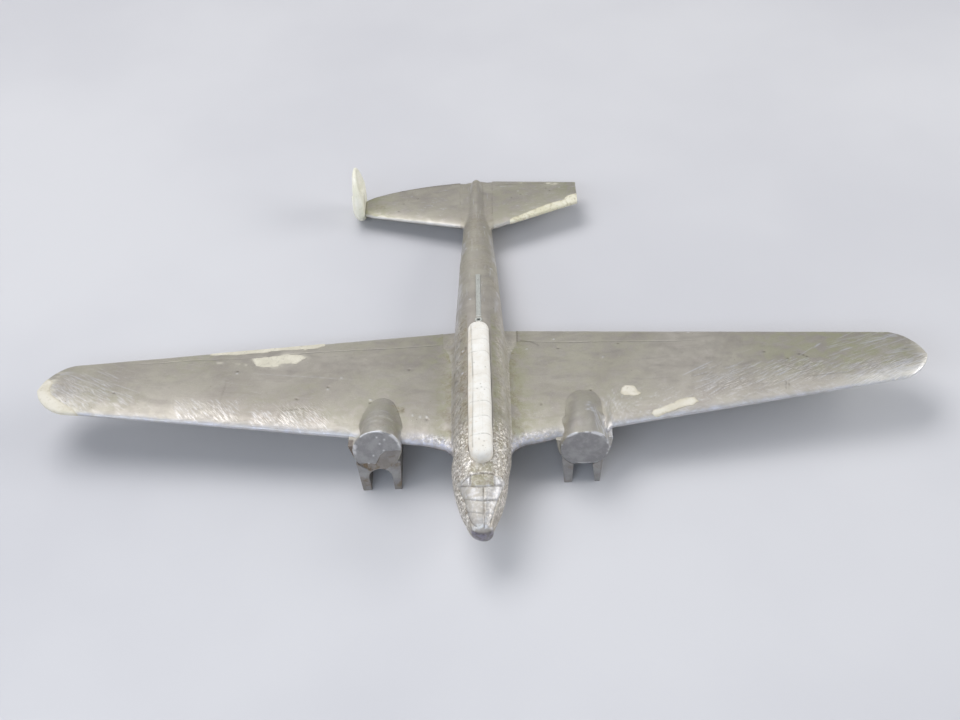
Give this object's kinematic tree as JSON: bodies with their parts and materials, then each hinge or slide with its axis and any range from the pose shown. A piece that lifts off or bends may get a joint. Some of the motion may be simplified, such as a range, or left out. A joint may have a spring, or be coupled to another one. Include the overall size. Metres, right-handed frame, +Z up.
{
  "type": "cast-metal desk model aeroplane",
  "caption": "Bare cast-metal twin-engined, twin-tailed desk model aeroplane, unfinished: resin canopy insert, filler patches, open nacelle faces, stands on undercarriage plates and tail.",
  "frame": {"origin": "on the desk plane, below the middle of the model's bounding box", "axes": "+Z up, nose towards -Y, port wing towards +X; the model sits about 5.4 degrees nose-up on its plates and tail"},
  "size_m": [0.152, 0.0984, 0.0158],
  "materials": {
    "cast_metal": "dull grey white-metal casting with olive tarnish and filed bright edges",
    "bright_metal": "satin bare metal",
    "dark_metal": "matt dark grey sawn metal face",
    "pin_steel": "drawn wire",
    "canopy_resin": "smooth off-white cast resin",
    "fin_putty": "pale cream-green cast resin, lightly sanded",
    "filler": "cream modelling filler, sanded"
  },
  "bodies": {
    "airframe": {"fuselage": "cast_metal", "mast_socket": "bright_metal", "spine_strip": "bright_metal", "port_wing": "cast_metal", "starboard_wing": "cast_metal", "front_spar_dowel": "pin_steel", "rear_spar_dowel": "pin_steel", "port_nacelle": "dark_metal", "starboard_nacelle": "dark_metal", "nacelle_dowels": "pin_steel", "port_outer_gear_plate": "dark_metal", "port_inner_gear_plate": "dark_metal", "starboard_outer_gear_plate": "dark_metal", "starboard_inner_gear_plate": "dark_metal", "gear_plate_pegs": "pin_steel", "port_tailplane": "cast_metal", "starboard_tailplane": "cast_metal", "tailplane_dowel": "pin_steel", "starboard_fin": "fin_putty", "fin_pin": "pin_steel", "starboard_tip_filler": "filler", "starboard_edge_filler": "filler", "port_wing_filler": "filler", "port_tailplane_filler": "filler"},
    "canopy_insert": {"canopy": "canopy_resin", "canopy_pegs": "pin_steel"}
  },
  "joints": [
    {"name": "canopy_lift", "type": "slide", "parent": "airframe", "child": "canopy_insert", "axis": [0, 0.0939, 0.9956], "range_m": [0, 0.012]}
  ]
}
